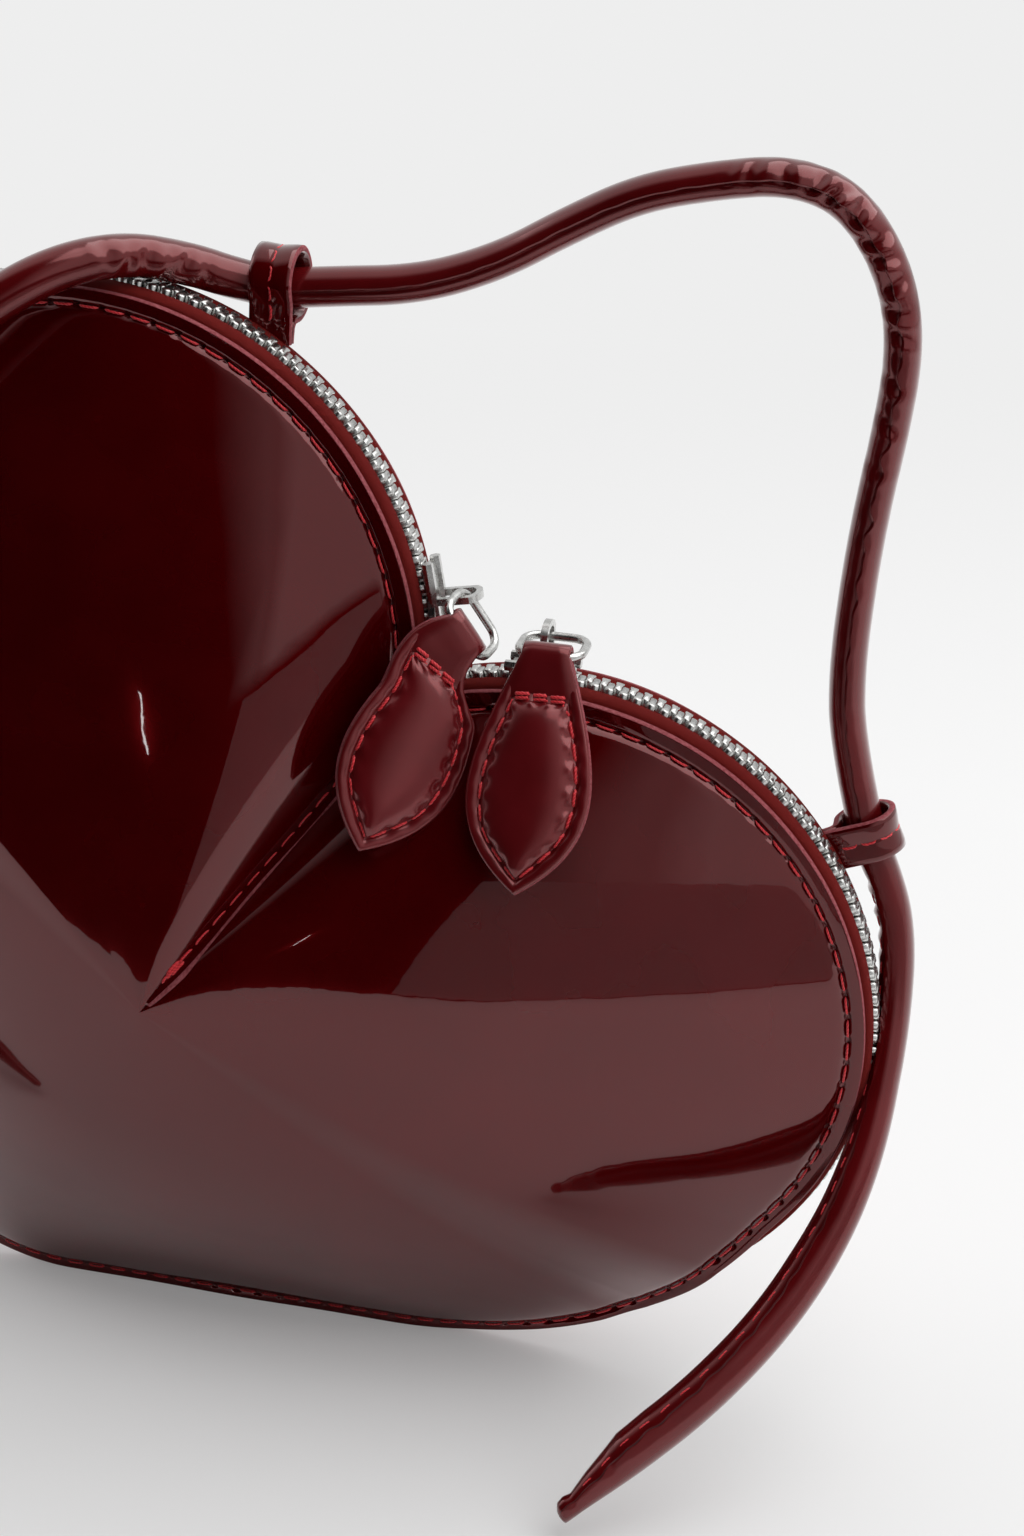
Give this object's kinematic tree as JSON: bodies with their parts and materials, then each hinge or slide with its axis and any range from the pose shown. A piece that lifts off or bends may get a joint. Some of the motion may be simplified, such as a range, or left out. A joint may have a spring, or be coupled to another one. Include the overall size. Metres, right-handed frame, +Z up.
{
  "type": "heart shaped purse",
  "caption": "Heart shaped patent leather purse with a metal zip round its lobes, sliders with padded leaf pulls, and a rolled strap led through sewn loops.",
  "frame": {"origin": "middle of the straight lower side's raw edge, in the heart plane, on the floor", "axes": "the heart lies in XZ with its front facing -Y; X to the viewer's right, Z up"},
  "size_m": [0.2299, 0.094, 0.2252],
  "materials": {
    "patent_leather": "glossy oxblood patent",
    "strap_leather": "glossy oxblood patent, rolled",
    "lining_cloth": "woven lining",
    "zip_tape": "woven red tape",
    "nickel": "polished nickel",
    "padding": "wadding"
  },
  "bodies": {
    "purse": {"front_panel": "patent_leather", "back_panel": "patent_leather", "front_lining": "lining_cloth", "back_lining": "lining_cloth", "front_zip_tape": "zip_tape", "back_zip_tape": "zip_tape", "front_zip_teeth": "nickel", "back_zip_teeth": "nickel", "zip_end_stops": "nickel", "left_strap_loop": "patent_leather", "right_strap_loop": "patent_leather", "strap": "strap_leather"},
    "left_slider": {"left_slider": "nickel", "left_slider_bridge": "nickel"},
    "left_ring": {"left_pull_ring": "nickel"},
    "left_leaf": {"left_pull_leaf": "patent_leather", "left_pull_padding": "padding"},
    "right_slider": {"right_slider": "nickel", "right_slider_bridge": "nickel"},
    "right_ring": {"right_pull_ring": "nickel"},
    "right_leaf": {"right_pull_leaf": "patent_leather", "right_pull_padding": "padding"}
  },
  "joints": [
    {"name": "left_slider_run", "type": "hinge", "parent": "purse", "child": "left_slider", "pos_m": [-0.0219, 0, 0.13866], "axis": [0, -1, 0], "range_deg": [0, 52]},
    {"name": "left_ring_lift", "type": "hinge", "parent": "left_slider", "child": "left_ring", "pos_m": [0.04684, 0, 0.14857], "axis": [-0.5736, 0, 0.8192], "range_deg": [0, 30]},
    {"name": "left_leaf_lift", "type": "hinge", "parent": "left_ring", "child": "left_leaf", "pos_m": [0.04576, -0.0083, 0.14782], "axis": [-0.5736, 0, 0.8192], "range_deg": [0, 60]},
    {"name": "right_slider_run", "type": "hinge", "parent": "purse", "child": "right_slider", "pos_m": [0.05848, 0, 0.07586], "axis": [0, 1, 0], "range_deg": [0, 60]},
    {"name": "right_ring_lift", "type": "hinge", "parent": "right_slider", "child": "right_ring", "pos_m": [0.06158, 0, 0.14424], "axis": [-1, 0, 0.0087], "range_deg": [0, 75]},
    {"name": "right_leaf_lift", "type": "hinge", "parent": "right_ring", "child": "right_leaf", "pos_m": [0.06157, -0.00839, 0.14394], "axis": [-1, 0, 0.0087], "range_deg": [0, 60]}
  ]
}
